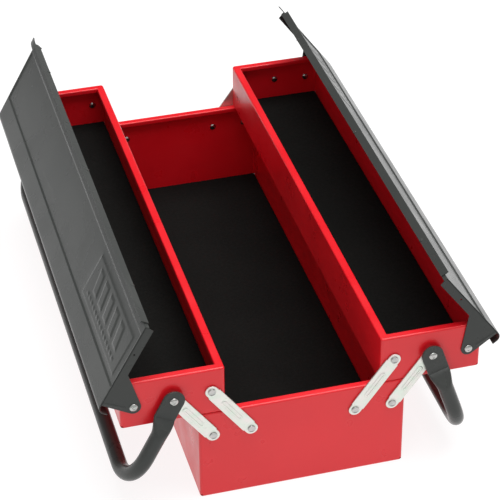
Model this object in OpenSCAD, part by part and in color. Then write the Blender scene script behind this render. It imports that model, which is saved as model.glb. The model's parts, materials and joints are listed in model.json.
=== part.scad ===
// Cantilever toolbox: a steel box, two trays that swing outward on parallel links,
// a lid on each tray and a folding tube handle on each side.
// X runs across the box, Y along it, Z up. The origin is the middle of the box's underside.
// The trays stand open. Each lid and handle is drawn at its own named angle.

/* [Box] */
// Width of the box across the hinge side
box_w = 200; // [170:1:260]
// Length of the box, the trays and the lids
box_l = 530; // [300:1:700]
// Height of the box from its underside to its rim
box_h = 99; // [80:1:140]
// Thickness of the box and tray sheet
sheet = 1; // [0.8:0.1:1.5]
// Width of the rim that is folded inward at the top of the box and trays
hem_w = 8; // [5:0.5:12]
// Depth of the turned-down inner edge of the rim
hem_drop = 5; // [2:0.5:8]
// Outer radius of the upright corners
corner_r = 3; // [2:0.5:6]
// Radius of the relief hole at each bottom corner
relief_r = 1.8; // [1:0.1:2.5]

/* [Trays] */
// Height of each tray
tray_h = 50; // [44:1:70]
// Gap between the two closed trays
tray_gap = 0.6; // [0.4:0.1:2]
// Gap between the box rim and the underside of a tray
seat_gap = 0.3; // [0.2:0.1:1]
// How far each tray is narrower than its half of the box
tray_inset = 1.2; // [0.5:0.1:4]

/* [Links] */
// Half of the sideways travel of a tray
swing = 37; // [30:1:45]
// Distance from a tray's inner wall to its inner link pivot
post_in = 13.1; // [11:0.1:20]
// Distance between the inner and the outer link pivots
link_pitch = 36.4; // [30:0.1:45]
// Height of the upper link pivots above the underside of the tray
post_up = 25.7; // [20:0.1:32]
// Depth of the lower link pivots below the box rim
post_down = 25; // [18:0.1:32]
// Width of a link between its shoulders
link_w = 14; // [13:0.5:18]
// Radius of the rounded ends of a link
link_end_r = 6.5; // [6:0.1:8]
// Distance of a link's shoulders from its pivots
shoulder = 4; // [2:0.5:8]
// Thickness of the link strip
link_t = 1.6; // [1.2:0.1:2.5]
// Length, width and height of the rib pressed into a link
rib_l = 30; // [15:1:36]
rib_w = 5; // [3:0.5:8]
rib_h = 0.6; // [0.3:0.1:0.8]

/* [Lids] */
// Thickness of the lid sheet
lid_t = 1; // [0.8:0.1:1.2]
// Distance of the lid pivot from the tray's outer wall
lid_back = 12.6; // [10:0.1:16]
// Height of the lid pivot above the underside of the tray
lid_up = 23.5; // [18:0.1:30]
// Gap between the tray rim and the pressed-down middle of the closed lid
lid_gap = 0.5; // [0.3:0.1:2]
// Depth of the pressed-down middle of the lid
press_d = 2.8; // [1.5:0.1:4]
// Width of the flat border round the pressed-down middle
border_w = 9; // [7:0.5:14]
// Gap between the tray's outer wall and the lid's lip
lip_gap = 1.4; // [0.6:0.1:3]
// Depth of the lip below the top of the lid
lip_d = 11; // [9:0.5:16]
// Outer radius of the bend from the lid to its lip
lip_r = 6.5; // [4:0.5:6.5]
// Radius of the ear round the lid pivot, and how far the plate's edges stand inside it
ear_r = 7; // [5.5:0.5:9]
ear_step = 0.3; // [0.2:0.1:0.6]
// Depth of the lid's end plates below the top of the lid
cheek_d = 9; // [7.5:0.5:10]
// How far the closing edge of the lid stands back from the tray's inner wall
close_inset = 2.4; // [1.8:0.1:4]
// Opening angle of the left lid from closed
left_lid_open = 60.5; // [20:0.5:60.5]
// Opening angle of the right lid from closed
right_lid_open = 53.5; // [20:0.5:60.5]

/* [Closing strips] */
// Thickness and height of the strip along each closing edge
strip_t = 1.4; // [1:0.1:1.6]
strip_h = 8; // [6:0.5:10]
// How far the strip stands back from the lid's ends
strip_inset = 6; // [3:0.5:12]
// Distance of the strip's end rivets from the lid's ends
strip_rivet_in = 65; // [30:1:120]
// Radii of the strip rivets' shanks, heads and tails
strip_rivet_r = 1.1; // [0.8:0.1:1.2]
strip_head_r = 2; // [1.6:0.1:2.6]
strip_tail_r = 1.4; // [1.2:0.1:1.4]
// Height of the strip rivets' heads and tails
strip_head_h = 0.7; // [0.4:0.1:0.8]

/* [Handles] */
// Distance from the handle pivot to the middle of the grip
grip_reach = 102; // [90:1:125]
// Outer diameter of the handle tube
tube_d = 15; // [12:0.5:18]
// Wall of the handle tube
tube_wall = 1.2; // [0.8:0.1:2]
// Bend radius of the handle tube
bend_r = 40; // [25:1:45]
// Width and thickness of the flattened handle ends
flat_w = 21; // [18:0.5:24]
flat_t = 2.5; // [2:0.1:3.5]
// Distance from the handle pivot to the end of the flat, and on to the round tube
flat_reach = 20; // [16:0.5:24]
swell = 17; // [12:0.5:20]
// Angle of each handle below level, on the outer side
left_droop = 62.5; // [40:0.5:85]
right_droop = 71; // [40:0.5:85]

/* [Liners] */
// Thickness of the foam liners
liner_t = 2.5; // [1.5:0.5:5]
// Gap between a liner and the walls round it
liner_gap = 1; // [0.5:0.1:3]

/* [Rivets and fits] */
// Radius of every rivet shank
shank_r = 2.6; // [2:0.1:3]
// Running clearance on the radius between a shank and what turns on it
run_gap = 0.08; // [0.05:0.01:0.1]
// Side gap between pieces that turn against each other
side_gap = 0.4; // [0.3:0.05:0.6]
// Radius and height of the cupped link rivet heads
cup_r = 3.7; // [3.4:0.1:4.4]
cup_h = 0.9; // [0.6:0.1:1.1]
// Radius and height of the domed lid and handle rivet heads
dome_r = 4.2; // [3.6:0.1:5]
dome_h = 1.6; // [1:0.1:1.8]
// Radius and height of the rivet tails inside the walls
tail_r = 3.6; // [3.2:0.1:4.5]
tail_h = 1.6; // [1:0.1:2.5]

/* [Hidden] */
$fn = 48;

LEFT = -1;
RIGHT = 1;
FRONT = -1;
REAR = 1;

// Tray sizes and the open tray's place
tray_w = box_w / 2 - tray_gap / 2 - tray_inset;
box_inner_x = tray_gap / 2 + post_in + swing;
box_outer_x = box_inner_x + link_pitch;
tray_inner_x = box_inner_x + swing;
tray_outer_x = tray_inner_x + link_pitch;
tray_wall_x = tray_inner_x - post_in;
tray_z = box_h + seat_gap;
low_z = box_h - post_down;
high_z = tray_z + post_up;

// A link from its lower to its upper pivot
link_rise = high_z - low_z;
link_len = sqrt(swing * swing + link_rise * link_rise);
link_lean = atan(swing / link_rise);

// Distances outward from the face of the end walls
link_out = side_gap + link_t;
plate_out = side_gap + lid_t;
handle_in = max(link_out + rib_h, plate_out + side_gap / 2 + dome_h) + side_gap;
handle_out = handle_in + flat_t;
washer_t = handle_in - link_out - side_gap;
wall_y = box_l / 2;

// Lid profile about the lid pivot, with the lid closed: X outward, Z up
lid_pivot_x = tray_wall_x + tray_w - lid_back;
lid_pivot_z = tray_z + lid_up;
rim_z = tray_h - lid_up;
press_top = rim_z + lid_gap + lid_t;
lid_top = press_top + press_d;
lip_x = lid_back + lip_gap + lid_t;
close_x = lid_back - tray_w + close_inset;
flange_z = rim_z + side_gap;
plate_z = lid_top - cheek_d;
// The tray's outer edge passes under the border as the lid swings over it
edge_swing = norm([lid_back, rim_z]) + side_gap;
press_edge = -sqrt(edge_swing * edge_swing - pow(press_top - lid_t, 2)) - lid_t;
lid_l = box_l + 2 * plate_out;

red = "#c8202a";
grey = "#4b4e4c";
zinc = "#cfd6cf";
foam = "#1a1a19";

// ---------- shared shapes ----------

// A rounded rectangle, centred
module rounded(w, l, r) {
  square([w - 2 * r, l], center = true);
  square([w, l - 2 * r], center = true);
  for (x = [-1, 1]) for (y = [-1, 1])
    translate([x * (w / 2 - r), y * (l / 2 - r)]) circle(r);
}

// Turns what is drawn in X and Z into a bar along Y that starts at y
module along_y(y, l) {
  translate([0, y + l, 0]) rotate([90, 0, 0]) linear_extrude(l) children();
}

// Mirrors what is drawn for the right side when the side is the left one
module on_side(side) {
  if (side == LEFT) mirror([1, 0, 0]) children();
  else children();
}

// Places what is drawn along +Z so that it points out of an end wall
module out_of_wall(x, z, end, out = 0) {
  translate([x, end * (wall_y + out), z]) rotate([-90 * end, 0, 0]) children();
}

// A bore through an end wall
module wall_bore(x, z, end) {
  out_of_wall(x, z, end, -3 * sheet) cylinder(r = shank_r, h = 4 * sheet);
}

// A low dome of radius r and height h on z = 0
module dome(r, h) {
  ball = (r * r + h * h) / (2 * h);
  intersection() {
    translate([0, 0, h - ball]) sphere(ball);
    cylinder(r = r + 1, h = h + 1);
  }
}

// A rivet through an end wall, from its tail inside to a head that starts at reach
module rivet_body(reach) {
  translate([0, 0, -sheet]) cylinder(r = shank_r, h = sheet + reach);
  translate([0, 0, -sheet]) mirror([0, 0, 1]) dome(tail_r, tail_h);
}

// A rivet whose head is a shallow cup
module cup_rivet(reach) {
  rivet_body(reach);
  translate([0, 0, reach]) difference() {
    cylinder(r = cup_r, h = cup_h);
    translate([0, 0, cup_h / 3]) cylinder(r1 = cup_r / 3, r2 = cup_r - 0.5, h = cup_h);
  }
}

// A rivet with a domed head
module dome_rivet(reach) {
  rivet_body(reach);
  translate([0, 0, reach]) dome(dome_r, dome_h);
}

// An open sheet box with a folded rim, standing on z = 0
module sheet_box(w, l, h) {
  difference() {
    linear_extrude(h) rounded(w, l, corner_r);
    translate([0, 0, sheet]) linear_extrude(h)
      rounded(w - 2 * sheet, l - 2 * sheet, corner_r - sheet);
    for (x = [-1, 1]) for (y = [-1, 1])
      translate([x * (w / 2 - relief_r), y * (l / 2), relief_r])
        rotate([90, 0, 0]) cylinder(r = relief_r, h = 4 * relief_r, center = true);
  }
  translate([0, 0, h - sheet]) rim_ring(w, l, sheet, hem_w, sheet);
  translate([0, 0, h - hem_drop]) rim_ring(w, l, hem_w - sheet, hem_w, hem_drop);
}

// A ring between two distances inside the outline of a sheet box
module rim_ring(w, l, near, far, h) {
  linear_extrude(h) difference() {
    rounded(w - 2 * near, l - 2 * near, corner_r - sheet);
    rounded(w - 2 * far, l - 2 * far, corner_r - sheet);
  }
}

// ---------- box ----------

module box_shell() {
  color(red) difference() {
    sheet_box(box_w, box_l, box_h);
    for (end = [FRONT, REAR]) for (x = [box_inner_x, box_outer_x]) for (s = [LEFT, RIGHT])
      wall_bore(s * x, low_z, end);
  }
}

module box_liner() {
  fit = sheet + liner_gap;
  color(foam) translate([0, 0, sheet]) linear_extrude(liner_t)
    rounded(box_w - 2 * fit, box_l - 2 * fit, corner_r);
}

module box_link_rivets() {
  color(zinc)
    for (end = [FRONT, REAR]) for (x = [box_inner_x, box_outer_x]) for (s = [LEFT, RIGHT])
      out_of_wall(s * x, low_z, end) cup_rivet(link_out + side_gap / 2);
}

// ---------- trays ----------

module tray_shell(side) {
  color(red) on_side(side) difference() {
    translate([tray_wall_x + tray_w / 2, 0, tray_z]) sheet_box(tray_w, box_l, tray_h);
    for (end = [FRONT, REAR]) {
      wall_bore(tray_inner_x, high_z, end);
      wall_bore(tray_outer_x, high_z, end);
      wall_bore(lid_pivot_x, lid_pivot_z, end);
    }
  }
}

module tray_liner(side) {
  fit = sheet + liner_gap;
  color(foam) on_side(side) translate([tray_wall_x + tray_w / 2, 0, tray_z + sheet])
    linear_extrude(liner_t) rounded(tray_w - 2 * fit, box_l - 2 * fit, corner_r);
}

module tray_link_rivets(side) {
  color(zinc) on_side(side) for (end = [FRONT, REAR])
    out_of_wall(tray_inner_x, high_z, end) cup_rivet(link_out + side_gap / 2);
}

module handle_rivets(side) {
  color(zinc) on_side(side) for (end = [FRONT, REAR])
    out_of_wall(tray_outer_x, high_z, end) dome_rivet(handle_out + side_gap / 2);
}

module handle_washers(side) {
  color(zinc) on_side(side) for (end = [FRONT, REAR])
    out_of_wall(tray_outer_x, high_z, end, link_out + side_gap / 2) difference() {
      cylinder(r = link_end_r - 0.5, h = washer_t);
      translate([0, 0, -1]) cylinder(r = shank_r, h = washer_t + 2);
    }
}

module lid_rivets(side) {
  color(zinc) on_side(side) for (end = [FRONT, REAR])
    out_of_wall(lid_pivot_x, lid_pivot_z, end) dome_rivet(plate_out + side_gap / 2);
}

// ---------- links ----------

// Outline of a link with its lower pivot at the origin and its upper pivot along +Y
module link_outline() {
  for (y = [0, link_len]) translate([0, y]) circle(link_end_r);
  translate([-link_end_r, 0]) square([2 * link_end_r, link_len]);
  translate([-link_w / 2, shoulder]) square([link_w, link_len - 2 * shoulder]);
}

// Outline of the pressed rib in the middle of a link
module rib_outline() {
  reach = (rib_l - rib_w) / 2;
  translate([-rib_w / 2, link_len / 2 - reach]) square([rib_w, 2 * reach]);
  for (s = [-1, 1]) translate([0, link_len / 2 + s * reach]) circle(rib_w / 2);
}

// A link that leans outward from its lower pivot at foot_x
module link(side, end, foot_x) {
  color(zinc) on_side(side)
    translate([foot_x, end * (wall_y + side_gap + link_t / 2), low_z])
      rotate([0, link_lean, 0]) rotate([90, 0, 0]) difference() {
        union() {
          linear_extrude(link_t, center = true) link_outline();
          mirror([0, 0, end == REAR ? 1 : 0]) linear_extrude(link_t / 2 + rib_h) rib_outline();
        }
        for (y = [0, link_len]) translate([0, y, 0])
          cylinder(r = shank_r + run_gap, h = 4 * link_t, center = true);
      }
}

// ---------- lids ----------

// Moves what is drawn about the closed lid's pivot to the lid's open place
module lid_place(side) {
  opening = side == LEFT ? left_lid_open : right_lid_open;
  on_side(side) translate([lid_pivot_x, 0, lid_pivot_z]) rotate([0, opening, 0]) children();
}

// Section of the lid sheet from its outer lip to its closing flange
module lid_section() {
  bend_x = lip_x - lip_r;
  bend_z = lid_top - lip_r;
  translate([close_x, lid_top - lid_t]) square([bend_x - close_x, lid_t]);
  translate([close_x, flange_z]) square([lid_t, lid_top - flange_z]);
  translate([lip_x - lid_t, lid_top - lip_d]) square([lid_t, lip_d - lip_r]);
  translate([bend_x, bend_z]) intersection() {
    difference() {
      circle(lip_r);
      circle(lip_r - lid_t);
    }
    square(lip_r);
  }
}

// Outline of an end plate of the lid, which carries the pivot ear
module cheek_outline() {
  edge = ear_r - ear_step;
  slope_x = -plate_z - edge * sqrt(2);
  difference() {
    union() {
      circle(ear_r);
      polygon([
        [close_x, lid_top], [close_x + 2, plate_z], [slope_x, plate_z],
        [-edge / sqrt(2), -edge / sqrt(2)], [edge, 0], [edge, lid_top]
      ]);
    }
    circle(shank_r + run_gap);
  }
}

// Outline of the pressed-down middle of the lid, seen from above
module press_outline(inset) {
  x0 = close_x + border_w + inset;
  x1 = press_edge - inset;
  translate([(x0 + x1) / 2, 0]) rounded(x1 - x0, lid_l - 2 * (border_w + inset), corner_r);
}

module lid(side) {
  color(grey) lid_place(side) {
    difference() {
      along_y(-lid_l / 2, lid_l) lid_section();
      translate([0, 0, lid_top - lid_t - 1]) linear_extrude(lid_t + 2) press_outline(lid_t);
      for (y = [-strip_rivet_y, 0, strip_rivet_y]) strip_bore(y);
    }
    translate([0, 0, press_top - lid_t]) linear_extrude(lid_t) press_outline(0);
    translate([0, 0, press_top - lid_t]) linear_extrude(lid_top - press_top + lid_t)
      difference() {
        press_outline(0);
        press_outline(lid_t);
      }
    for (y = [-lid_l / 2, lid_l / 2 - lid_t]) along_y(y, lid_t) cheek_outline();
  }
}

// ---------- closing strips ----------

strip_rivet_y = lid_l / 2 - strip_rivet_in;
strip_rivet_z = (flange_z + lid_top - lid_t) / 2;

module strip_bore(y) {
  translate([close_x, y, strip_rivet_z]) rotate([0, 90, 0])
    cylinder(r = strip_rivet_r, h = 8, center = true);
}

module closing_strip(side) {
  l = lid_l - 2 * strip_inset;
  color(grey) lid_place(side) difference() {
    along_y(-l / 2, l) translate([close_x - strip_t, flange_z]) square([strip_t, strip_h]);
    for (y = [-strip_rivet_y, 0, strip_rivet_y]) strip_bore(y);
  }
}

module strip_rivets(side) {
  color(zinc) lid_place(side) for (y = [-strip_rivet_y, 0, strip_rivet_y])
    translate([close_x, y, strip_rivet_z]) rotate([0, -90, 0]) {
      translate([0, 0, -lid_t]) cylinder(r = strip_rivet_r, h = lid_t + strip_t);
      translate([0, 0, strip_t]) dome(strip_head_r, strip_head_h);
      translate([0, 0, -lid_t]) mirror([0, 0, 1]) dome(strip_tail_r, strip_head_h);
    }
}

// ---------- handles ----------

tube_y = wall_y + handle_in + tube_d / 2;
tube_start = flat_reach + swell;

// The bent tube in the plane of the handle, X out from the pivots, as a bar of radius r
module handle_bar(r) {
  for (end = [FRONT, REAR]) {
    translate([tube_start, end * tube_y, 0]) rotate([0, 90, 0])
      cylinder(r = r, h = grip_reach - bend_r - tube_start);
    translate([grip_reach - bend_r, end * (tube_y - bend_r), 0])
      rotate([0, 0, end == REAR ? 0 : -90])
        rotate_extrude(angle = 90) translate([bend_r, 0]) circle(r);
  }
  rotate([90, 0, 0]) translate([grip_reach, 0, 0])
    cylinder(r = r, h = 2 * (tube_y - bend_r), center = true);
}

// One flattened end of the handle at the rear, with its bore and its swell to the tube
module handle_end() {
  difference() {
    union() {
      translate([0, wall_y + handle_out, 0]) rotate([90, 0, 0])
        cylinder(r = flat_w / 2, h = flat_t);
      translate([0, wall_y + handle_in, -flat_w / 2]) cube([flat_reach, flat_t, flat_w]);
    }
    translate([0, wall_y, 0]) rotate([90, 0, 0])
      cylinder(r = shank_r + run_gap, h = 6 * handle_out, center = true);
  }
  hull() {
    translate([flat_reach - 0.1, wall_y + handle_in, -flat_w / 2]) cube([0.1, flat_t, flat_w]);
    translate([tube_start, tube_y, 0]) rotate([0, 90, 0]) cylinder(d = tube_d, h = 0.1, $fn = 32);
  }
}

module handle(side) {
  droop = side == LEFT ? left_droop : right_droop;
  color(grey) on_side(side) translate([tray_outer_x, 0, high_z]) rotate([0, droop, 0]) {
    difference() {
      handle_bar(tube_d / 2);
      handle_bar(tube_d / 2 - tube_wall);
    }
    handle_end();
    mirror([0, 1, 0]) handle_end();
  }
}

// ---------- the assembly ----------

box_shell();
box_liner();
box_link_rivets();
tray_shell(LEFT);  // left_tray_shell
tray_liner(LEFT);  // left_tray_liner
tray_link_rivets(LEFT);  // left_tray_link_rivets
handle_rivets(LEFT);  // left_handle_rivets
handle_washers(LEFT);  // left_handle_washers
lid_rivets(LEFT);  // left_lid_rivets
link(LEFT, FRONT, box_inner_x);  // left_front_inner_link
link(LEFT, REAR, box_inner_x);  // left_rear_inner_link
link(LEFT, FRONT, box_outer_x);  // left_front_outer_link
link(LEFT, REAR, box_outer_x);  // left_rear_outer_link
lid(LEFT);  // left_lid
closing_strip(LEFT);  // left_closing_strip
strip_rivets(LEFT);  // left_strip_rivets
handle(LEFT);  // left_handle
tray_shell(RIGHT);  // right_tray_shell
tray_liner(RIGHT);  // right_tray_liner
tray_link_rivets(RIGHT);  // right_tray_link_rivets
handle_rivets(RIGHT);  // right_handle_rivets
handle_washers(RIGHT);  // right_handle_washers
lid_rivets(RIGHT);  // right_lid_rivets
link(RIGHT, FRONT, box_inner_x);  // right_front_inner_link
link(RIGHT, REAR, box_inner_x);  // right_rear_inner_link
link(RIGHT, FRONT, box_outer_x);  // right_front_outer_link
link(RIGHT, REAR, box_outer_x);  // right_rear_outer_link
lid(RIGHT);  // right_lid
closing_strip(RIGHT);  // right_closing_strip
strip_rivets(RIGHT);  // right_strip_rivets
handle(RIGHT);  // right_handle
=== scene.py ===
import json
import math

import bmesh
import bpy
from mathutils import Matrix, Vector


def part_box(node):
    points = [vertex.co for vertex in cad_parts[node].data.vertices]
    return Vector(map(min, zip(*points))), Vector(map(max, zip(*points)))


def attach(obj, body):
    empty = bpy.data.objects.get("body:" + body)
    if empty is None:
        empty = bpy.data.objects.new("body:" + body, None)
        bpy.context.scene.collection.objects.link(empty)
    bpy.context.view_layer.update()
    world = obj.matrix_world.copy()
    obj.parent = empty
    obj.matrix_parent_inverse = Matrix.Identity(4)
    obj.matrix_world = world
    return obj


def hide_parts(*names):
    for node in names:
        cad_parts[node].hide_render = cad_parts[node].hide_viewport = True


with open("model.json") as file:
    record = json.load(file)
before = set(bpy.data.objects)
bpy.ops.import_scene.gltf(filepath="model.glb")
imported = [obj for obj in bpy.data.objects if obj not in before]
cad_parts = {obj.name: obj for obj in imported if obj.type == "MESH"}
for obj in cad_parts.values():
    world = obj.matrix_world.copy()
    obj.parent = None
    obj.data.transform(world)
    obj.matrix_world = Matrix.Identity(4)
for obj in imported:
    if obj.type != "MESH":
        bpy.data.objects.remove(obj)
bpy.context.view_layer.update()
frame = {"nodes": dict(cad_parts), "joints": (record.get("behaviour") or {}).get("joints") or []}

NODES = frame["nodes"]
SIDES = (("left", -1), ("right", 1))
ENDS = (("front", -1), ("rear", 1))
SHELL_BODIES = ("box", "left_tray", "right_tray")

# ---------- sizes in mm, as in the CAD source ----------

MM = 0.001
SHEET = 1.0
HEM_W = 8.0
HEM_DROP = 5.0
CORNER_R = 3.0
RELIEF_R = 1.8
SIDE_GAP = 0.4
LINK_T = 1.6
LINK_LEN = 63.0
LINK_LEAN = math.radians(35.96)
LINK_OUT = SIDE_GAP + LINK_T
PLATE_OUT = 1.4
HANDLE_IN = 3.6
FLAT_T = 2.5
HANDLE_OUT = HANDLE_IN + FLAT_T
SHANK_R = 2.6
BORE_R = 2.68
LID_OPEN = {"left": math.radians(60.5), "right": math.radians(53.5)}
DROOP = {"left": math.radians(62.5), "right": math.radians(71.0)}


def in_mm(corners):
    return [tuple(value / MM for value in corner) for corner in corners]


WALL_Y = in_mm(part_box("box_shell"))[1][1]
PIVOTS = {j["name"]: tuple(value / MM for value in j["pos_m"]) for j in frame["joints"]}
LID_PIVOT = {s: (abs(PIVOTS[s + "_lid_hinge"][0]), PIVOTS[s + "_lid_hinge"][2]) for s, _ in SIDES}
HANDLE_PIVOT = {s: (abs(PIVOTS[s + "_handle_hinge"][0]), PIVOTS[s + "_handle_hinge"][2]) for s, _ in SIDES}
TRAY_INNER_X = abs(PIVOTS["right_tray_swing"][0])
BOX_INNER_X = abs(PIVOTS["right_links_swing"][0])
BOX_OUTER_X = abs(PIVOTS["right_outer_links_swing"][0])
LOW_Z = PIVOTS["right_links_swing"][2]
HIGH_Z = PIVOTS["right_tray_swing"][2]


# ---------- node materials ----------

class Nodes:
    """A new Principled material and short ways to add nodes to it."""

    def __init__(self, name, **inputs):
        self.material = bpy.data.materials.new(name)
        self.material.use_nodes = True
        self.tree = self.material.node_tree
        self.shader = self.tree.nodes["Principled BSDF"]
        for key, value in inputs.items():
            self.shader.inputs[key.replace("_", " ")].default_value = value
        self.place = self.add("ShaderNodeTexCoord").outputs["Object"]

    def add(self, kind, **settings):
        node = self.tree.nodes.new(kind)
        for key, value in settings.items():
            setattr(node, key, value)
        return node

    def link(self, start, end):
        self.tree.links.new(start, end)

    def noise(self, scale, detail=2.0, roughness=0.5, stretch=None):
        node = self.add("ShaderNodeTexNoise")
        node.inputs["Scale"].default_value = scale
        node.inputs["Detail"].default_value = detail
        node.inputs["Roughness"].default_value = roughness
        self.link(self.mapped(stretch), node.inputs["Vector"])
        return node.outputs["Fac"]

    def cells(self, scale):
        node = self.add("ShaderNodeTexVoronoi")
        node.inputs["Scale"].default_value = scale
        self.link(self.place, node.inputs["Vector"])
        return node.outputs["Distance"]

    def mapped(self, stretch):
        if stretch is None:
            return self.place
        node = self.add("ShaderNodeMapping")
        node.inputs["Scale"].default_value = stretch
        self.link(self.place, node.inputs["Vector"])
        return node.outputs["Vector"]

    def ramp(self, value, low, high, start=0.0, end=1.0):
        """value goes from low to high as it rises from start to end."""
        node = self.add("ShaderNodeMapRange", clamp=True)
        node.inputs["From Min"].default_value = start
        node.inputs["From Max"].default_value = end
        node.inputs["To Min"].default_value = low
        node.inputs["To Max"].default_value = high
        self.link(value, node.inputs["Value"])
        return node.outputs["Result"]

    def blend(self, factor, first, second):
        """A colour that goes from first to second; either may be a socket."""
        node = self.add("ShaderNodeMix", data_type="RGBA")
        self.link(factor, node.inputs["Factor"])
        for value, socket in ((first, node.inputs[6]), (second, node.inputs[7])):
            if isinstance(value, tuple):
                socket.default_value = (*value, 1.0)
            else:
                self.link(value, socket)
        return node.outputs[2]

    def colour(self, value):
        self.link(value, self.shader.inputs["Base Color"])

    def rough(self, value):
        self.link(value, self.shader.inputs["Roughness"])

    def bumps(self, *layers):
        """Each layer is (height socket, strength, distance in metres)."""
        normal = None
        for height, strength, distance in layers:
            node = self.add("ShaderNodeBump")
            node.inputs["Strength"].default_value = strength
            node.inputs["Distance"].default_value = distance
            self.link(height, node.inputs["Height"])
            if normal is not None:
                self.link(normal, node.inputs["Normal"])
            normal = node.outputs["Normal"]
        self.link(normal, self.shader.inputs["Normal"])


def red_paint():
    """Glossy sprayed enamel: orange peel and faint patches."""
    m = Nodes("red_gloss_paint", Metallic=0.0, Coat_Weight=0.1, Coat_Roughness=0.12)
    patches = m.ramp(m.noise(9.0, 4.0), 0.0, 1.0, 0.35, 0.7)
    m.colour(m.blend(patches, (0.69, 0.005, 0.012), (0.75, 0.009, 0.017)))
    m.rough(m.ramp(m.noise(35.0, 3.0), 0.26, 0.40, 0.3, 0.7))
    m.bumps((m.noise(300.0, 1.0), 0.04, 0.0003), (m.noise(28.0, 1.0), 0.05, 0.0012))
    return m.material


def grey_paint():
    """Satin powder coat on the lids and handles: fine grain, rubbed patches, light scuffs."""
    m = Nodes("grey_satin_paint", Metallic=0.0)
    m.shader.inputs["Specular IOR Level"].default_value = 0.22
    patches = m.ramp(m.noise(7.0, 5.0), 0.0, 1.0, 0.3, 0.75)
    base = m.blend(patches, (0.042, 0.045, 0.043), (0.051, 0.054, 0.051))
    scuffs = m.ramp(m.noise(60.0, 6.0, 0.65, (1.0, 0.12, 1.0)), 0.0, 0.5, 0.62, 0.78)
    m.colour(m.blend(scuffs, base, (0.080, 0.083, 0.079)))
    m.rough(m.ramp(m.noise(22.0, 4.0), 0.22, 0.32, 0.3, 0.7))
    m.bumps((m.noise(1100.0, 2.0), 0.12, 0.00012), (m.noise(18.0, 1.0), 0.05, 0.0010))
    return m.material


def zinc_plate():
    """Bright zinc plate: a passivated bloom with faint green and pink, drawn scratches."""
    m = Nodes("bright_zinc_plate", Metallic=0.85)
    bloom = m.ramp(m.noise(120.0, 3.0), 0.0, 1.0, 0.35, 0.65)
    tint = m.blend(bloom, (0.69, 0.76, 0.68), (0.78, 0.74, 0.71))
    spots = m.ramp(m.noise(420.0, 2.0), 0.0, 0.6, 0.62, 0.80)
    m.colour(m.blend(spots, tint, (0.50, 0.54, 0.50)))
    m.rough(m.ramp(m.noise(160.0, 3.0), 0.30, 0.46, 0.3, 0.7))
    m.bumps((m.noise(700.0, 2.0, 0.5, (1.0, 1.0, 0.15)), 0.10, 0.0001))
    return m.material


def rivet_plate():
    """Polished zinc on the rivets: smooth heads with faint turning marks, on a base colour darker than the
    plate's that is painted shade for the dark reflections of the box's shaded interior.
    """
    m = Nodes("polished_zinc_painted_shade", Metallic=1.0)
    bloom = m.ramp(m.noise(260.0, 3.0), 0.0, 1.0, 0.35, 0.65)
    # painted shade: these greys are darker than the zinc plate's, standing in for the dark interior that the
    # rivets reflect
    m.colour(m.blend(bloom, (0.42, 0.44, 0.42), (0.53, 0.51, 0.50)))
    m.rough(m.ramp(m.noise(500.0, 3.0), 0.14, 0.26, 0.3, 0.7))
    m.bumps((m.noise(900.0, 2.0), 0.12, 0.0001))
    return m.material


def foam_mat():
    """Black closed-cell foam: skin with fine pores and slow patches."""
    m = Nodes("black_foam", Metallic=0.0)
    m.shader.inputs["Specular IOR Level"].default_value = 0.08
    patches = m.ramp(m.noise(14.0, 4.0), 0.0, 1.0, 0.3, 0.75)
    base = m.blend(patches, (0.0040, 0.0040, 0.0037), (0.0064, 0.0064, 0.0059))
    grain = m.ramp(m.noise(1500.0, 2.0), 0.0, 1.0, 0.45, 0.72)
    m.colour(m.blend(grain, base, (0.012, 0.012, 0.011)))
    m.rough(m.ramp(m.noise(300.0, 2.0), 0.78, 0.96, 0.3, 0.7))
    m.bumps((m.cells(1300.0), 0.35, 0.00025), (m.noise(240.0, 2.0), 0.25, 0.0005))
    return m.material


FLOOR_GLOW = 0.86
FLOOR_FADE = (0.85, 1.5)


def studio_floor():
    """White sweep that glows near the object, so that shadows stay light, and is duller far out."""
    m = Nodes("studio_floor", Roughness=0.9)
    m.shader.inputs["Specular IOR Level"].default_value = 0.1
    m.shader.inputs["Emission Color"].default_value = (1.0, 1.0, 1.0, 1.0)
    length = m.add("ShaderNodeVectorMath", operation="LENGTH")
    m.link(m.place, length.inputs[0])
    out = length.outputs["Value"]
    m.link(m.ramp(out, FLOOR_GLOW, 0.0, *FLOOR_FADE), m.shader.inputs["Emission Strength"])
    m.colour(m.blend(m.ramp(out, 0.0, 1.0, *FLOOR_FADE), (0.20, 0.20, 0.20), (0.46, 0.46, 0.46)))
    return m.material


RED = red_paint()
GREY = grey_paint()
ZINC = zinc_plate()
POLISHED_SHADED_ZINC = rivet_plate()
FOAM = foam_mat()


# ---------- meshes ----------

SHARP = 40.0


class Shape:
    """Points in mm and faces, gathered before they become one piece."""

    def __init__(self):
        self.points = []
        self.faces = []

    def ring(self, points):
        """Adds a ring of points and returns their numbers."""
        first = len(self.points)
        self.points.extend(points)
        return list(range(first, len(self.points)))

    def bridge(self, a, b, closed=True):
        """Faces between two rings of the same length."""
        count = len(a)
        for i in range(count if closed else count - 1):
            j = (i + 1) % count
            self.faces.append((a[i], a[j], b[j], b[i]))

    def stack(self, rings):
        """Adds rings one after another, joined by faces, and returns their numbers."""
        added = [self.ring(points) for points in rings]
        for a, b in zip(added, added[1:]):
            self.bridge(a, b)
        return added

    def cap(self, ring):
        self.faces.append(tuple(ring))

    def fill(self, rings, at, normal):
        """Flat faces between an outer ring and the rings inside it; at maps a number to a flat point."""
        bm = bmesh.new()
        verts = {}
        edges = []
        for ring in rings:
            loop = [bm.verts.new(at(self.points[i])) for i in ring]
            for number, vert in zip(ring, loop):
                verts[vert] = number
            edges.extend(bm.edges.new((loop[i - 1], loop[i])) for i in range(len(loop)))
        found = bmesh.ops.triangle_fill(bm, use_beauty=True, use_dissolve=False, edges=edges, normal=normal)
        for item in found["geom"]:
            if isinstance(item, bmesh.types.BMFace):
                self.faces.append(tuple(verts[v] for v in item.verts))
        bm.free()

    def moved(self, place):
        self.points = [place(p) for p in self.points]
        return self


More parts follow.
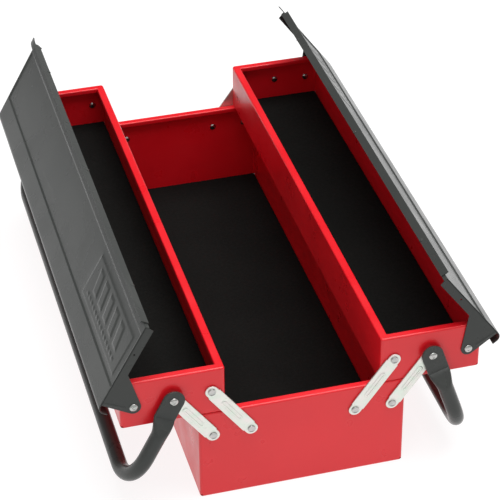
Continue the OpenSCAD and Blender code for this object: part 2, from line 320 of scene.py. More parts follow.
def even_shading(obj):
    """Keeps large faces flat where round edges meet them."""
    even = obj.modifiers.new("even_shading", "WEIGHTED_NORMAL")
    even.keep_sharp = True


def smooth(mesh, sharp):
    """Smooth shading, with sharp edges from an angle in degrees."""
    mesh.shade_smooth()
    mesh.set_sharp_from_angle(angle=math.radians(sharp))


def shapes_mesh(name, shapes):
    """One mesh of closed shapes in row-frame mm, whose faces all look outward."""
    bm = bmesh.new()
    for shape in shapes:
        verts = [bm.verts.new(Vector(p) * MM) for p in shape.points]
        for face in shape.faces:
            if len(set(face)) > 2:
                bm.faces.new([verts[i] for i in face])
    bmesh.ops.remove_doubles(bm, verts=bm.verts[:], dist=1e-7)
    bmesh.ops.recalc_face_normals(bm, faces=bm.faces[:])
    mesh = bpy.data.meshes.new(name)
    bm.to_mesh(mesh)
    bm.free()
    return mesh


def piece(name, shapes, material, body, replaced=(), sharp=SHARP):
    """Makes one Blender piece from shapes in row-frame mm, on a body, standing for CAD nodes."""
    mesh = shapes_mesh(name, shapes)
    smooth(mesh, sharp)
    obj = bpy.data.objects.new(name, mesh)
    bpy.context.scene.collection.objects.link(obj)
    mesh.materials.append(material)
    even_shading(obj)
    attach(obj, body)
    if replaced:
        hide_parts(*replaced)
    return obj


def arc(cx, cy, r, start, end, steps):
    """Points on an arc from one angle to another, in degrees."""
    angles = [math.radians(start + (end - start) * i / steps) for i in range(steps + 1)]
    return [(cx + r * math.cos(a), cy + r * math.sin(a)) for a in angles]


def rounded_ring(half_x, half_y, r, steps=5):
    """A rounded rectangle about the origin, always with the same number of points."""
    points = []
    for sx, sy, start in ((1, 1, 0), (-1, 1, 90), (-1, -1, 180), (1, -1, 270)):
        points += arc(sx * (half_x - r), sy * (half_y - r), r, start, start + 90, steps)
    return points


def circle(cx, cy, r, steps=32):
    return arc(cx, cy, r, 0, 360 - 360 / steps, steps - 1)


def inset(points, d):
    """A closed outline moved inward by d. The points run anticlockwise."""
    moved = []
    for i, (x, y) in enumerate(points):
        ax, ay = points[i - 1]
        bx, by = points[(i + 1) % len(points)]
        first = Vector((x - ax, y - ay)).normalized()
        second = Vector((bx - x, by - y)).normalized()
        normal = Vector((-first.y - second.y, first.x + second.x)).normalized()
        grow = max(0.5, normal.dot(Vector((-first.y, first.x))))
        moved.append((x + normal.x * d / grow, y + normal.y * d / grow))
    return moved


def edge_levels(thickness, r, steps=3):
    """(inset, height) pairs that round both edges of a plate."""
    angles = [math.radians(90 * i / steps) for i in range(steps + 1)]
    low = [(r * (1 - math.sin(a)), r * (1 - math.cos(a))) for a in angles]
    return low + [(d, thickness - z) for d, z in reversed(low)]


def plate(outline, holes, thickness, r, rib=()):
    """A flat plate with rounded edges, round holes and, if wanted, a rib given as rings from its foot."""
    shape = Shape()
    levels = edge_levels(thickness, r)
    outer = shape.stack([[(x, y, z) for x, y in inset(outline, d)] for d, z in levels])
    bores = [shape.stack([[(x, y, z) for x, y in circle(cx, cy, hole_r + d * 0.6)] for d, z in levels])
             for cx, cy, hole_r in holes]
    flat = lambda p: (p[0], p[1], 0.0)
    shape.fill([outer[0]] + [bore[0] for bore in bores], flat, (0, 0, -1))
    tops = [outer[-1]] + [bore[-1] for bore in bores]
    if rib:
        ribs = shape.stack(rib)
        shape.cap(ribs[-1])
        tops.append(ribs[0])
    shape.fill(tops, flat, (0, 0, 1))
    return shape


def lathe(profile, steps=40):
    """A closed body of revolution about Z from (radius, height) points that start and end on the axis."""
    shape = Shape()
    rings = shape.stack([[(r * c, r * s, z) for c, s in circle(0, 0, 1, steps)] for r, z in profile[1:-1]])
    for ring, (_, z) in ((rings[0], profile[0]), (rings[-1], profile[-1])):
        tip = shape.ring([(0.0, 0.0, z)])[0]
        for i in range(steps):
            shape.faces.append((ring[i - 1], ring[i], tip))
    return shape


# ---------- places ----------

def wall_place(side, end, x, z, out=0.0):
    """From local (x, y, outward) on an end wall to the row frame; local y is up."""
    def place(p):
        return (side * (x + p[0]), end * (WALL_Y + out + p[2]), z + p[1])
    return place


def link_place(side, end, foot_x):
    """From a link's (across, along, outward) to the row frame."""
    c, s = math.cos(LINK_LEAN), math.sin(LINK_LEAN)

    def place(p):
        x = foot_x + p[1] * s + p[0] * c
        z = LOW_Z + p[1] * c - p[0] * s
        return (side * x, end * (WALL_Y + SIDE_GAP + p[2]), z)
    return place


def turned_place(pivot, angle, side):
    """From a closed lid's or level handle's (X outward, Y, Z up) about its pivot to the row frame."""
    c, s = math.cos(angle), math.sin(angle)

    def place(p):
        return (side * (pivot[0] + p[0] * c + p[2] * s), p[1], pivot[1] - p[0] * s + p[2] * c)
    return place


# ---------- sheet boxes ----------

BEND_R = 1.5
RIM_BEND_R = 1.9
RETURN_BEND_R = 1.3
FLOOR_IN = 9.0


def shell_profile(h):
    """(inset, height) points of the sheet, from under the floor over the rim and back to the floor."""
    inner_r = BEND_R - SHEET
    points = [(FLOOR_IN, 0.0)]
    points += arc(BEND_R, BEND_R, BEND_R, 270, 180, 5)
    points += arc(RIM_BEND_R, h - RIM_BEND_R, RIM_BEND_R, 180, 90, 6)
    points += arc(HEM_W - RETURN_BEND_R, h - RETURN_BEND_R, RETURN_BEND_R, 90, 0, 5)
    points += arc(HEM_W - SHEET / 2, h - HEM_DROP + SHEET / 2, SHEET / 2, 0, -180, 6)
    points += arc(HEM_W - RETURN_BEND_R, h - RETURN_BEND_R, RETURN_BEND_R - SHEET, 0, 90, 2)
    points += arc(RIM_BEND_R, h - RIM_BEND_R, RIM_BEND_R - SHEET, 90, 180, 3)
    points += arc(BEND_R, BEND_R, inner_r, 180, 270, 3)
    points.append((FLOOR_IN, SHEET))
    return points


def sheet_box(low, high):
    """A folded sheet box with a turned-in rim that fills a CAD box."""
    cx, cy = (low[0] + high[0]) / 2, (low[1] + high[1]) / 2
    half_x, half_y = (high[0] - low[0]) / 2, (high[1] - low[1]) / 2
    shape = Shape()
    rings = shape.stack([
        [(cx + x, cy + y, low[2] + z) for x, y in
         rounded_ring(half_x - d, half_y - d, max(CORNER_R - d, 0.35), 6)]
        for d, z in shell_profile(high[2] - low[2])])
    shape.cap(rings[0])
    shape.cap(rings[-1])
    return shape


NOTCH_IN = RELIEF_R * 0.85
NOTCH_R = RELIEF_R * 0.62
NOTCH_REACH = 2.6


def notch_cutters(low, high):
    """Round relief notches where the folds of the floor meet at the corners."""
    profile = [(0, -NOTCH_REACH), (NOTCH_R, -NOTCH_REACH), (NOTCH_R, NOTCH_REACH), (0, NOTCH_REACH)]
    half_x, half_y = (high[0] - low[0]) / 2, (high[1] - low[1]) / 2
    cx, cy = (low[0] + high[0]) / 2, (low[1] + high[1]) / 2
    cutters = []
    for sx in (-1, 1):
        for sy in (-1, 1):
            x = cx + sx * (half_x - NOTCH_IN)
            y = cy + sy * half_y
            z = low[2] + NOTCH_IN
            cutters.append(lathe(profile, 24).moved(lambda p, x=x, y=y, z=z: (x + p[0], y + p[2], z + p[1])))
    return cutters


def carve(obj, shapes):
    """Cuts shapes out of a piece and keeps the result as its mesh."""
    cutter = bpy.data.objects.new("cutter", shapes_mesh("cutter", shapes))
    bpy.context.scene.collection.objects.link(cutter)
    obj.modifiers.clear()
    modifier = obj.modifiers.new("cut", "BOOLEAN")
    modifier.operation = "DIFFERENCE"
    modifier.solver = "EXACT"
    modifier.object = cutter
    result = bpy.data.meshes.new_from_object(obj.evaluated_get(bpy.context.evaluated_depsgraph_get()))
    obj.modifiers.clear()
    result.name = obj.data.name
    obj.data = result
    bpy.data.objects.remove(cutter)
    smooth(result, SHARP)
    even_shading(obj)


def add_shells():
    for body in SHELL_BODIES:
        node = body + "_shell"
        low, high = in_mm(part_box(node))
        shell = piece(node + "_sheet", [sheet_box(low, high)], RED, body, (node,))
        carve(shell, notch_cutters(low, high))


# ---------- foam mats ----------

FOAM_GROW = 0.75  # the cut mat is pressed out almost to the walls
FOAM_EDGE_R = 0.9
FOAM_CORNER_R = 1.6
# (distance in from the edge, how far the top lies lower there)
FOAM_SAG = ((3.0, 0.05), (7.0, 0.12), (14.0, 0.16), (24.0, 0.14), (36.0, 0.16))


def foam_sheet(low, high):
    """A thin mat with rounded edges, whose top rises and falls by a few tenths."""
    cx, cy = (low[0] + high[0]) / 2, (low[1] + high[1]) / 2
    half_x, half_y = (high[0] - low[0]) / 2, (high[1] - low[1]) / 2
    shape = Shape()
    levels = edge_levels(high[2] - low[2], FOAM_EDGE_R)
    ring_sets = [rounded_ring(half_x - d, half_y - d, FOAM_CORNER_R) for d, _ in levels]
    rings = shape.stack([[(cx + x, cy + y, low[2] + z) for x, y in ring]
                         for ring, (_, z) in zip(ring_sets, levels)])
    for d, drop in FOAM_SAG:
        ring = [(cx + x, cy + y, high[2] - drop - wave(x, y))
                for x, y in rounded_ring(half_x - d, half_y - d, FOAM_CORNER_R)]
        added = shape.ring(ring)
        shape.bridge(rings[-1], added)
        rings.append(added)
    shape.cap(rings[0])
    shape.cap(rings[-1])
    return shape


def wave(x, y):
    return 0.05 * (1 + math.sin(x * 0.11 + 1.3) * math.cos(y * 0.043 + 0.4))


def add_foam():
    for body in SHELL_BODIES:
        node = body + "_liner"
        low, high = in_mm(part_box(node))
        low = (low[0] - FOAM_GROW, low[1] - FOAM_GROW, low[2])
        high = (high[0] + FOAM_GROW, high[1] + FOAM_GROW, high[2])
        mat = piece(node + "_foam", [foam_sheet(low, high)], FOAM, body, (node,))


# ---------- rivets ----------

# (radius, height) points in mm; the dome's are shares of its radius and height
TAIL = [(3.6, 0.0), (3.52, -0.45), (3.2, -0.9), (2.5, -1.3), (1.3, -1.55), (0.0, -1.6)]
CUP = [(0.0, 0.25), (1.2, 0.28), (2.3, 0.45), (2.85, 0.72), (3.1, 0.86),
       (3.35, 0.9), (3.6, 0.75), (3.7, 0.5), (3.7, 0.15), (3.55, 0.0)]
DOME = [(0.0, 0.6), (0.22, 0.62), (0.33, 0.8), (0.42, 0.98), (0.52, 0.97),
        (0.66, 0.85), (0.8, 0.65), (0.9, 0.42), (0.98, 0.15), (0.97, 0.0)]
DOME_R = 4.2
DOME_H = 1.6


def cup_head(reach):
    return [(r, reach + z) for r, z in CUP]


def dome_head(reach):
    return [(DOME_R * r, reach + DOME_H * z) for r, z in DOME]


def rivet(head):
    """A rivet through an end wall: its head, its shank and the tail inside."""
    reach = head[-1][1]
    profile = head + [(SHANK_R, reach), (SHANK_R, -SHEET)]
    return lathe(profile + [(r, z - SHEET) for r, z in TAIL])


def rivets(name, node, body, head, spots):
    """All the rivets of one CAD node, each spot a (side, end, x, z)."""
    shapes = [rivet(head).moved(wall_place(*spot)) for spot in spots]
    return piece(name, shapes, POLISHED_SHADED_ZINC, body, (node,), sharp=50.0)


def both_ends(side, x, z):
    return [(side, end, x, z) for _, end in ENDS]


def add_rivets():
    cup = cup_head(LINK_OUT + SIDE_GAP / 2)
    handle_dome = dome_head(HANDLE_OUT + SIDE_GAP / 2)
    lid_dome = dome_head(PLATE_OUT + SIDE_GAP / 2)
    spots = []
    for _, k in SIDES:
        for x in (BOX_INNER_X, BOX_OUTER_X):
            spots += both_ends(k, x, LOW_Z)
    rivets("box_link_rivets_cup", "box_link_rivets", "box", cup, spots)
    for s, k in SIDES:
        for kind, head, look, x, z in (("tray_link_rivets", cup, "cup", TRAY_INNER_X, HIGH_Z),
                                       ("handle_rivets", handle_dome, "dome", *HANDLE_PIVOT[s]),
                                       ("lid_rivets", lid_dome, "dome", *LID_PIVOT[s])):
            node = "%s_%s" % (s, kind)
            rivets("%s_%s" % (node, look), node, s + "_tray", head, both_ends(k, x, z))


# ---------- links ----------

LINK_HALF = 7.0
LINK_END_R = 6.2
SHOULDER = 4.0
RIB_REACH = 12.5
LINK_EDGE_R = 0.42
# (half width, height) of the rib's rings, from its foot over the crest into the groove
RIB_RINGS = ((3.1, 0.0), (2.85, 0.1), (2.5, 0.42), (2.2, 0.58), (1.75, 0.66),
             (1.2, 0.66), (0.9, 0.58), (0.65, 0.1), (0.4, 0.02))


def link_outline():
    """Outline of a link, anticlockwise, with its lower pivot at the origin and the upper one along +Y."""
    top = LINK_LEN
    points = arc(0, 0, LINK_END_R, 180, 360, 16)
    points += [(LINK_END_R, SHOULDER - 0.5), (LINK_HALF, SHOULDER), (LINK_HALF, top - SHOULDER),
               (LINK_END_R, top - SHOULDER + 0.5)]
    points += arc(0, top, LINK_END_R, 0, 180, 16)
    points += [(-LINK_END_R, top - SHOULDER + 0.5), (-LINK_HALF, top - SHOULDER), (-LINK_HALF, SHOULDER),
               (-LINK_END_R, SHOULDER - 0.5)]
    return points


def slot_ring(cy, reach, r, z, steps=8):
    """A ring with round ends along Y at height z."""
    points = arc(0, cy + reach, r, 0, 180, steps) + arc(0, cy - reach, r, 180, 360, steps)
    return [(x, y, z) for x, y in points]


def link_shape():
    rib = [slot_ring(LINK_LEN / 2, RIB_REACH, r, LINK_T + z) for r, z in RIB_RINGS]
    bores = [(0, 0, BORE_R), (0, LINK_LEN, BORE_R)]
    return plate(link_outline(), bores, LINK_T, LINK_EDGE_R, rib)


def add_links():
    for s, k in SIDES:
        for e, end in ENDS:
            for row, foot in (("inner", BOX_INNER_X), ("outer", BOX_OUTER_X)):
                node = "%s_%s_%s_link" % (s, e, row)
                shape = link_shape().moved(link_place(k, end, foot))
                piece(node + "_strip", [shape], ZINC, "%s_%s_links" % (s, row), (node,), sharp=35.0)


# ---------- lids ----------

CLOSE_X = -83.5
LIP_X = 15.0
LIP_R = 6.5
LIP_D = 11.0
LID_TOP = 30.8
LID_T = 1.0
FLANGE_Z = 26.9
PLATE_Z = 21.8
PRESS_D = 1.3
LID_HALF = 266.4
TOP_BEND_R = 1.3
LID_EDGE_R = 0.5
EAR_R = 7.0
CHEEK_STEP = 6.7
RIB_FOOT = (2.6, 8.6)
RIB_TIP = (4.4, 27.6)
CHEEK_HOLE = (-52.9, 26.6, 0.9)
CREASE_STEPS = (-0.10, -0.03, 0.03, 0.10, 0.5, 0.90, 0.97, 1.03, 1.10)
CREASE_IN = -75.0
CREASE_IN_W = 2.6
CREASE_OUT = -13.6
CREASE_OUT_W = 1.6
CREASE_END = 0.8
CREASE_END_W = 3.0
FRAME_X = (-65.0, -19.0)
FRAME_Y = (10.0, 146.0)
FRAME_H = 0.6
MARK_H = 0.6
TAB_X = -79.5
TAB_SAG = 1.6
# (distance along the tab, half its width there)
TAB_ROWS = ((0.0, 3.9), (3.5, 3.9), (7.0, 3.9), (10.0, 3.9), (13.0, 3.9),
            (15.5, 3.9), (17.0, 3.8), (17.6, 3.5), (18.0, 2.9))
BAR_X = (-58.0, -34.0)
BAR_MID_X = -46.0
BAR_LEAN = 0.30
BAR_Y = 30.0
BAR_STEP = 21.0
BAR_W = 14.0
DASH_X = (-29.5, -25.5)
DASH_Y = 24.0
DASH_STEP = 8.0
DASH_W = 5.5
DASH_H = 0.45


def soft_step(value, soft=0.09):
    """0 below 0 and 1 above 1, straight between, with small round bends at both ends."""
    def bend(v):
        if v <= -soft:
            return 0.0
        if v >= soft:
            return v
        return (v + soft) ** 2 / (4 * soft)
    return bend(value) - bend(value - 1.0)


def raised(x, y, box, slope):
    """How far (x, y) is up the sloped side of a box-shaped rise, from 0 to 1."""
    x0, x1, y0, y1 = box
    d = min(x - x0, x1 - x, y - y0, y1 - y)
    return soft_step(d / slope, 0.3)


def emblem(x, y):
    """A plain embossed panel: a frame, five slanted bars and a row of dashes. y runs from the end."""
    h = FRAME_H * raised(x, y, (*FRAME_X, *FRAME_Y), 2.0)
    slanted = y + (x - BAR_MID_X) * BAR_LEAN
    for i in range(5):
        y0 = BAR_Y + BAR_STEP * i
        h += MARK_H * raised(x, slanted, (*BAR_X, y0, y0 + BAR_W), 2.0)
    for i in range(14):
        y0 = DASH_Y + DASH_STEP * i
        h += DASH_H * raised(x, y, (*DASH_X, y0, y0 + DASH_W), 1.4)
    return h


def lid_drop(x, y, marked_end):
    """How far the pressed sheet lies below its border at closed-lid x and row y."""
    end_in = LID_HALF - abs(y)
    inner = (x - CREASE_IN) / CREASE_IN_W
    outer = (CREASE_OUT - x) / CREASE_OUT_W
    across = (end_in - CREASE_END) / CREASE_END_W
    drop = PRESS_D * soft_step(min(inner, outer, across))
    return drop - emblem(x, LID_HALF - marked_end * y)


def steps_between(lines, coarse):
    """Adds evenly spaced values wherever two lines lie further apart than coarse."""
    lines = sorted(set(round(v, 4) for v in lines))
    full = []
    for a, b in zip(lines, lines[1:]):
        count = max(1, math.ceil((b - a) / coarse))
        full += [a + (b - a) * i / count for i in range(count)]
    return full + [lines[-1]]


def crease_lines(start, width, way):
    return [start + way * width * k for k in CREASE_STEPS]


def lid_profile():
    """(x, z, outward x, outward z) along the lid's section from the closing flange to the lip."""
    points = [(CLOSE_X, FLANGE_Z, -1.0, 0.0), (CLOSE_X, FLANGE_Z + 1.2, -1.0, 0.0)]
    for i in range(5):
        a = math.radians(180 - 22.5 * i)
        points.append((CLOSE_X + TOP_BEND_R + TOP_BEND_R * math.cos(a),
                       LID_TOP - TOP_BEND_R + TOP_BEND_R * math.sin(a), math.cos(a), math.sin(a)))
    lines = crease_lines(CREASE_IN, CREASE_IN_W, 1) + crease_lines(CREASE_OUT, CREASE_OUT_W, -1)
    lines += [FRAME_X[0] + i for i in range(int(FRAME_X[1] - FRAME_X[0]) + 1)]
    lines += [CLOSE_X + TOP_BEND_R + 0.01, LIP_X - LIP_R]
    points += [(x, LID_TOP, 0.0, 1.0) for x in steps_between(lines, 6.0)[1:-1]]
    for i in range(11):
        a = math.radians(90 - 9 * i)
        points.append((LIP_X - LIP_R + LIP_R * math.cos(a), LID_TOP - LIP_R + LIP_R * math.sin(a),
                       math.cos(a), math.sin(a)))
    points.append((LIP_X, LID_TOP - LIP_D, 1.0, 0.0))
    return points


def lid_rows(marked_end):
    """Row y values, fine over the embossed panel."""
    ends = [CREASE_END + CREASE_END_W * k for k in CREASE_STEPS]
    lines = [-LID_HALF, LID_HALF]
    for sign in (-1, 1):
        lines += [sign * (LID_HALF - v) for v in ends + [0.25, 0.6]]
    count = int(FRAME_Y[1] - FRAME_Y[0])
    lines += [marked_end * (LID_HALF - FRAME_Y[0] - i) for i in range(count + 1)]
    return steps_between(lines, 9.0)


def edge_dip(edge):
    """How far the outer face drops where it rounds over, edge mm in from the lid's end."""
    if edge >= LID_EDGE_R:
        return 0.0
    return LID_EDGE_R - math.sqrt(max(0.0, LID_EDGE_R ** 2 - (LID_EDGE_R - edge) ** 2))


def lid_sheet(marked_end):
    """The pressed sheet as a closed skin: outer face, inner face one sheet below, and the edges."""
    shape = Shape()
    profile = lid_profile()
    outer = []
    inner = []
    for y in lid_rows(marked_end):
        dip = edge_dip(LID_HALF - abs(y))
        out_row = []
        in_row = []
        for x, z, nx, nz in profile:
            drop = lid_drop(x, y, marked_end) if nz == 1.0 else 0.0
            out_row.append((x - nx * dip, y, z - drop - nz * dip))
            in_row.append((x - nx * LID_T, y, z - drop - nz * LID_T))
        outer.append(shape.ring(out_row))
        inner.append(shape.ring(in_row))
    for a, b in zip(outer, outer[1:]):
        shape.bridge(a, b, closed=False)
    for a, b in zip(inner, inner[1:]):
        shape.bridge(b, a, closed=False)
    shape.bridge(inner[0], outer[0], closed=False)
    shape.bridge(outer[-1], inner[-1], closed=False)
    shape.bridge([row[0] for row in outer], [row[0] for row in inner], closed=False)
    shape.bridge([row[-1] for row in inner], [row[-1] for row in outer], closed=False)
    return shape


def cheek_outline():
    """Outline of an end plate, anticlockwise in closed-lid X and Z."""
    slant = CHEEK_STEP * math.sqrt(2)
    points = [(CLOSE_X + 0.1, LID_TOP - 0.3), (CLOSE_X + 2, PLATE_Z), (-PLATE_Z - slant, PLATE_Z)]
    points += arc(0, 0, EAR_R, 225, 355, 18)
    points += [(EAR_R, 3.0), (EAR_R, LID_TOP - 0.3)]
    return points


def cheek_plate():
    """An end plate with its pivot ear, a pressed rib towards the lip and a small hole."""
    foot = Vector(RIB_FOOT)
    tip = Vector(RIB_TIP)
    along = (tip - foot).normalized()
    across = Vector((-along.y, along.x))

    def rib_ring(grow, z):
        ring = []
        for centre, start in ((tip, -90), (foot, 90)):
            for cx, cy in arc(0, 0, 0.9 + grow, start, start + 180, 6):
                ring.append((*(centre + along * cx + across * cy), z))
        return ring
    rib = [rib_ring(grow, LID_T + z) for grow, z in ((0.7, 0.0), (0.4, 0.2), (0.0, 0.58), (-0.5, 0.7))]
    return plate(cheek_outline(), [(0, 0, BORE_R), CHEEK_HOLE], LID_T, 0.3, rib)


def rear_tab():
    """A narrow tab that runs on from the lid's top past its rear end, and sags a little."""
    shape = Shape()
    rings = []
    for along, half in TAB_ROWS:
        z = LID_TOP - LID_T / 2 - TAB_SAG * (along / TAB_ROWS[-1][0]) ** 2
        rings.append([(TAB_X + x, LID_HALF - 1.0 + along, z + up) for x, up in
                      rounded_ring(half, LID_T / 2 - 0.02, 0.3, 2)])
    added = shape.stack(rings)
    shape.cap(added[0])
    shape.cap(added[-1])
    return shape


def add_lids():
    for s, k in SIDES:
        open_place = turned_place(LID_PIVOT[s], LID_OPEN[s], k)
        shapes = [lid_sheet(k).moved(open_place), rear_tab().moved(open_place)]
        for _, end in ENDS:
            stand = lambda p, end=end: (p[0], end * (LID_HALF - LID_T + p[2]), p[1])
            shapes.append(cheek_plate().moved(stand).moved(open_place))
        piece(s + "_lid_pressing", shapes, GREY, s + "_lid", (s + "_lid",), sharp=48.0)


# ---------- closing strips ----------

STRIP_T = 1.4
STRIP_RIVETS = (-201.4, 0.0, 201.4)
STRIP_RIVET_Z = 28.35
STRIP_HEAD = [(0.0, 0.8), (0.9, 0.76), (1.5, 0.58), (1.9, 0.28), (2.0, 0.08), (1.95, 0.0)]
STRIP_SHANK_R = 1.1
STRIP_TAIL = [(1.4, 0.0), (1.2, -0.4), (0.7, -0.65), (0.0, -0.7)]


def add_strip_rivets():
    profile = [(r, z + STRIP_T) for r, z in STRIP_HEAD]
    profile += [(STRIP_SHANK_R, STRIP_T), (STRIP_SHANK_R, -LID_T)]
    profile += [(r, z - LID_T) for r, z in STRIP_TAIL]
    for s, k in SIDES:
        open_place = turned_place(LID_PIVOT[s], LID_OPEN[s], k)
        shapes = []
        for y in STRIP_RIVETS:
            face = lambda p, y=y: (CLOSE_X - p[2], y + p[0], STRIP_RIVET_Z + p[1])
            shapes.append(lathe(profile, 28).moved(face).moved(open_place))
        piece(s + "_strip_rivets_dome", shapes, GREY, s + "_lid", (s + "_strip_rivets",), sharp=50.0)


# ---------- handles ----------

GRIP_REACH = 102.0
TUBE_R = 7.5
BEND_PATH_R = 40.0
FLAT_HALF = 10.5
FLAT_REACH = 20.0
TUBE_START = 37.0
TUBE_Y = WALL_Y + HANDLE_IN + TUBE_R
SECTION_STEPS = 8


def handle_stations():
    """(reach, y, direction angle, half width, half thickness, corner radius) from one end to mid-grip."""
    flat_y = WALL_Y + HANDLE_IN + FLAT_T / 2
    thin = FLAT_T / 2
    stations = []
    for i in range(9):
        a = math.radians(4 + 86 * i / 8)
        reach = -FLAT_HALF * math.cos(a)
        stations.append((reach, flat_y, 0.0, FLAT_HALF * math.sin(a), thin * min(1.0, 0.55 + 0.1 * i), 0.8))
    for reach in (4.0, 10.0, 16.0, 19.2):
        stations.append((reach, flat_y, 0.0, FLAT_HALF, thin, 0.9))
    count = 14
    for i in range(count + 1):
        k = i / count
        grow = math.sin(k * math.pi / 2) ** 0.85 if k < 1 else 1.0
        narrow = k * k * (3 - 2 * k)
        b = thin + (TUBE_R - thin) * grow
        a = FLAT_HALF + (TUBE_R - FLAT_HALF) * narrow
        r = 0.9 + (TUBE_R - 0.9) * grow
        stations.append((FLAT_REACH + (TUBE_START - FLAT_REACH) * k, WALL_Y + HANDLE_IN + b, 0.0, a, b, r))
    stations.append((GRIP_REACH - BEND_PATH_R - 10.0, TUBE_Y, 0.0, TUBE_R, TUBE_R, TUBE_R))
    for i in range(17):
        a = math.radians(90 * i / 16)
        stations.append((GRIP_REACH - BEND_PATH_R + BEND_PATH_R * math.sin(a),
                         TUBE_Y - BEND_PATH_R + BEND_PATH_R * math.cos(a), a, TUBE_R, TUBE_R, TUBE_R))
    for y in (200.0, 160.0, 120.0, 80.0, 40.0):
        stations.append((GRIP_REACH, y, math.pi / 2, TUBE_R, TUBE_R, TUBE_R))
    return stations


def handle_shape():
    """The whole tube, swept from one flat end to the other."""
    rings = []
    for reach, y, turn, a, b, r in handle_stations():
        # The in-plane direction across the tube starts along +Y and turns with the bend
        section = rounded_ring(a, b, min(r, a, b), SECTION_STEPS)
        rings.append([(reach + plane * math.sin(turn), y + plane * math.cos(turn), across)
                      for across, plane in section])
    rings += [[(x, -y, z) for x, y, z in ring] for ring in reversed(rings)]
    shape = Shape()
    numbers = shape.stack(rings)
    shape.cap(numbers[0])
    shape.cap(numbers[-1])
    return shape


def bore_cutter(end):
    rod = lathe([(0, -8.0), (BORE_R, -8.0), (BORE_R, 8.0), (0, 8.0)], 32)
    return rod.moved(lambda p: (p[0], end * (WALL_Y + HANDLE_IN) + p[2], p[1]))


def add_handles():
    for s, k in SIDES:
        hung = turned_place(HANDLE_PIVOT[s], DROOP[s], k)
        node = s + "_handle"
        tube = piece(node + "_tube", [handle_shape().moved(hung)], GREY, node, (node,))
        carve(tube, [bore_cutter(end).moved(hung) for _, end in ENDS])


# ---------- CAD nodes that keep their shape ----------

def dress(node, material, edge_mm):
    """Gives a CAD node its material and small round edges."""
    obj = NODES[node]
    obj.data.materials.clear()
    obj.data.materials.append(material)
    weld = obj.modifiers.new("weld", "WELD")
    weld.merge_threshold = 1e-6
    flat = obj.modifiers.new("flat", "DECIMATE")
    flat.decimate_type = "DISSOLVE"
    flat.angle_limit = math.radians(1.0)
    bevel = obj.modifiers.new("edges", "BEVEL")
    bevel.width = edge_mm * MM
    bevel.segments = 3
    bevel.limit_method = "ANGLE"
    bevel.angle_limit = math.radians(35.0)
    even_shading(obj)
    obj.data.shade_smooth()


# ---------- camera, floor and light ----------

CAMERA_MM = (-431.17, -1669.75, 1281.66)
CAMERA_AZ = math.radians(15.178)
CAMERA_EL = math.radians(34.700)
CAMERA_ROLL = math.radians(-0.4297)
LENS_MM = 146.33
# (place from the front, 0, to the rear, 1, and the sky's strength there)
SKY_STOPS = ((0.0, 0.50), (0.30, 0.62), (0.52, 0.84), (0.60, 0.74), (0.88, 0.10))
SKY_LEVEL = 0.52
SKY_LEVEL_UP = (0.14, 0.32)


def add_camera():
    ahead = Vector((math.sin(CAMERA_AZ) * math.cos(CAMERA_EL), math.cos(CAMERA_AZ) * math.cos(CAMERA_EL),
                    -math.sin(CAMERA_EL)))
    right = Vector((math.cos(CAMERA_AZ), -math.sin(CAMERA_AZ), 0.0))
    up = right.cross(ahead)
    c, s = math.cos(CAMERA_ROLL), math.sin(CAMERA_ROLL)
    axes = Matrix((right * c + up * s, up * c - right * s, -ahead)).transposed()
    data = bpy.data.cameras.new("camera")
    data.lens = LENS_MM
    data.sensor_width = 36.0
    data.clip_end = 50.0
    camera = bpy.data.objects.new("camera", data)
    camera.matrix_world = Matrix.Translation(Vector(CAMERA_MM) * MM) @ axes.to_4x4()
    bpy.context.scene.collection.objects.link(camera)
    bpy.context.scene.camera = camera


# (radius, height); a hair below zero, so that it never shows through the box's underside
FLOOR_RINGS = ((6800, 500), (6200, 120), (5200, -0.2), (2500, -0.2))


def add_floor():
    """A wide round floor that rises gently at its rim."""
    shape = Shape()
    rings = shape.stack([[(r * c, r * s, z) for c, s in circle(0, 0, 1.0, 64)] for r, z in FLOOR_RINGS])
    shape.cap(rings[-1])
    mesh = bpy.data.meshes.new("floor")
    mesh.from_pydata([Vector(p) * MM for p in shape.points], [], shape.faces)
    mesh.shade_smooth()
    floor = bpy.data.objects.new("floor", mesh)
    bpy.context.scene.collection.objects.link(floor)
    mesh.materials.append(studio_floor())


def add_area(name, place, aim, size, power):
    data = bpy.data.lights.new(name, "AREA")
    data.shape = "RECTANGLE"
    data.size, data.size_y = size
    data.energy = power
    light = bpy.data.objects.new(name, data)
    light.location = place
    light.rotation_euler = (Vector(aim) - Vector(place)).to_track_quat("-Z", "Y").to_euler()
    bpy.context.scene.collection.objects.link(light)


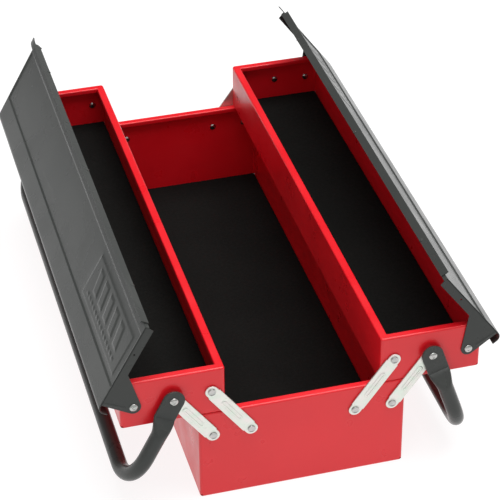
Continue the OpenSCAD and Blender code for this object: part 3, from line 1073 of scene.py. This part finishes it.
def add_world():
    """A soft sky, pale at eye level and dim higher up at the rear; level surfaces keep their colour."""
    world = bpy.data.worlds.new("studio")
    world.use_nodes = True
    tree = world.node_tree
    background = tree.nodes["Background"]
    place = tree.nodes.new("ShaderNodeTexCoord")
    split = tree.nodes.new("ShaderNodeSeparateXYZ")
    tree.links.new(place.outputs["Generated"], split.inputs["Vector"])
    along = tree.nodes.new("ShaderNodeMapRange")
    along.inputs["From Min"].default_value = -1.0
    tree.links.new(split.outputs["Y"], along.inputs["Value"])
    sky = tree.nodes.new("ShaderNodeValToRGB")
    for i, (at, strength) in enumerate(SKY_STOPS):
        stop = sky.color_ramp.elements[i] if i < 2 else sky.color_ramp.elements.new(at)
        stop.position = at
        stop.color = (strength, strength, strength, 1.0)
    tree.links.new(along.outputs["Result"], sky.inputs["Fac"])
    height = tree.nodes.new("ShaderNodeMapRange")
    height.inputs["From Min"].default_value, height.inputs["From Max"].default_value = SKY_LEVEL_UP
    tree.links.new(split.outputs["Z"], height.inputs["Value"])
    mix = tree.nodes.new("ShaderNodeMix")
    mix.data_type = "RGBA"
    tree.links.new(height.outputs["Result"], mix.inputs["Factor"])
    mix.inputs[6].default_value = (SKY_LEVEL, SKY_LEVEL, SKY_LEVEL, 1.0)
    tree.links.new(sky.outputs["Color"], mix.inputs[7])
    tree.links.new(mix.outputs[2], background.inputs["Color"])
    bpy.context.scene.world = world


# (name, place, aim, size in metres, power in watts)
AREA_LIGHTS = (("overhead", (0.25, 0.0, 2.3), (0.0, 0.0, 0.0), (2.2, 2.0), 57.0),
               ("front_fill", (-0.5, -2.6, 0.9), (0.0, 0.0, 0.08), (2.4, 1.4), 3.0))


def add_light():
    add_world()
    for light in AREA_LIGHTS:
        add_area(*light)
    bpy.context.scene.view_settings.view_transform = "Standard"


add_camera()
add_shells()
add_foam()
add_rivets()
add_links()
add_lids()
add_strip_rivets()
add_handles()
for side_name, _ in SIDES:
    dress(side_name + "_closing_strip", GREY, 0.3)
    dress(side_name + "_handle_washers", ZINC, 0.2)
add_floor()
add_light()
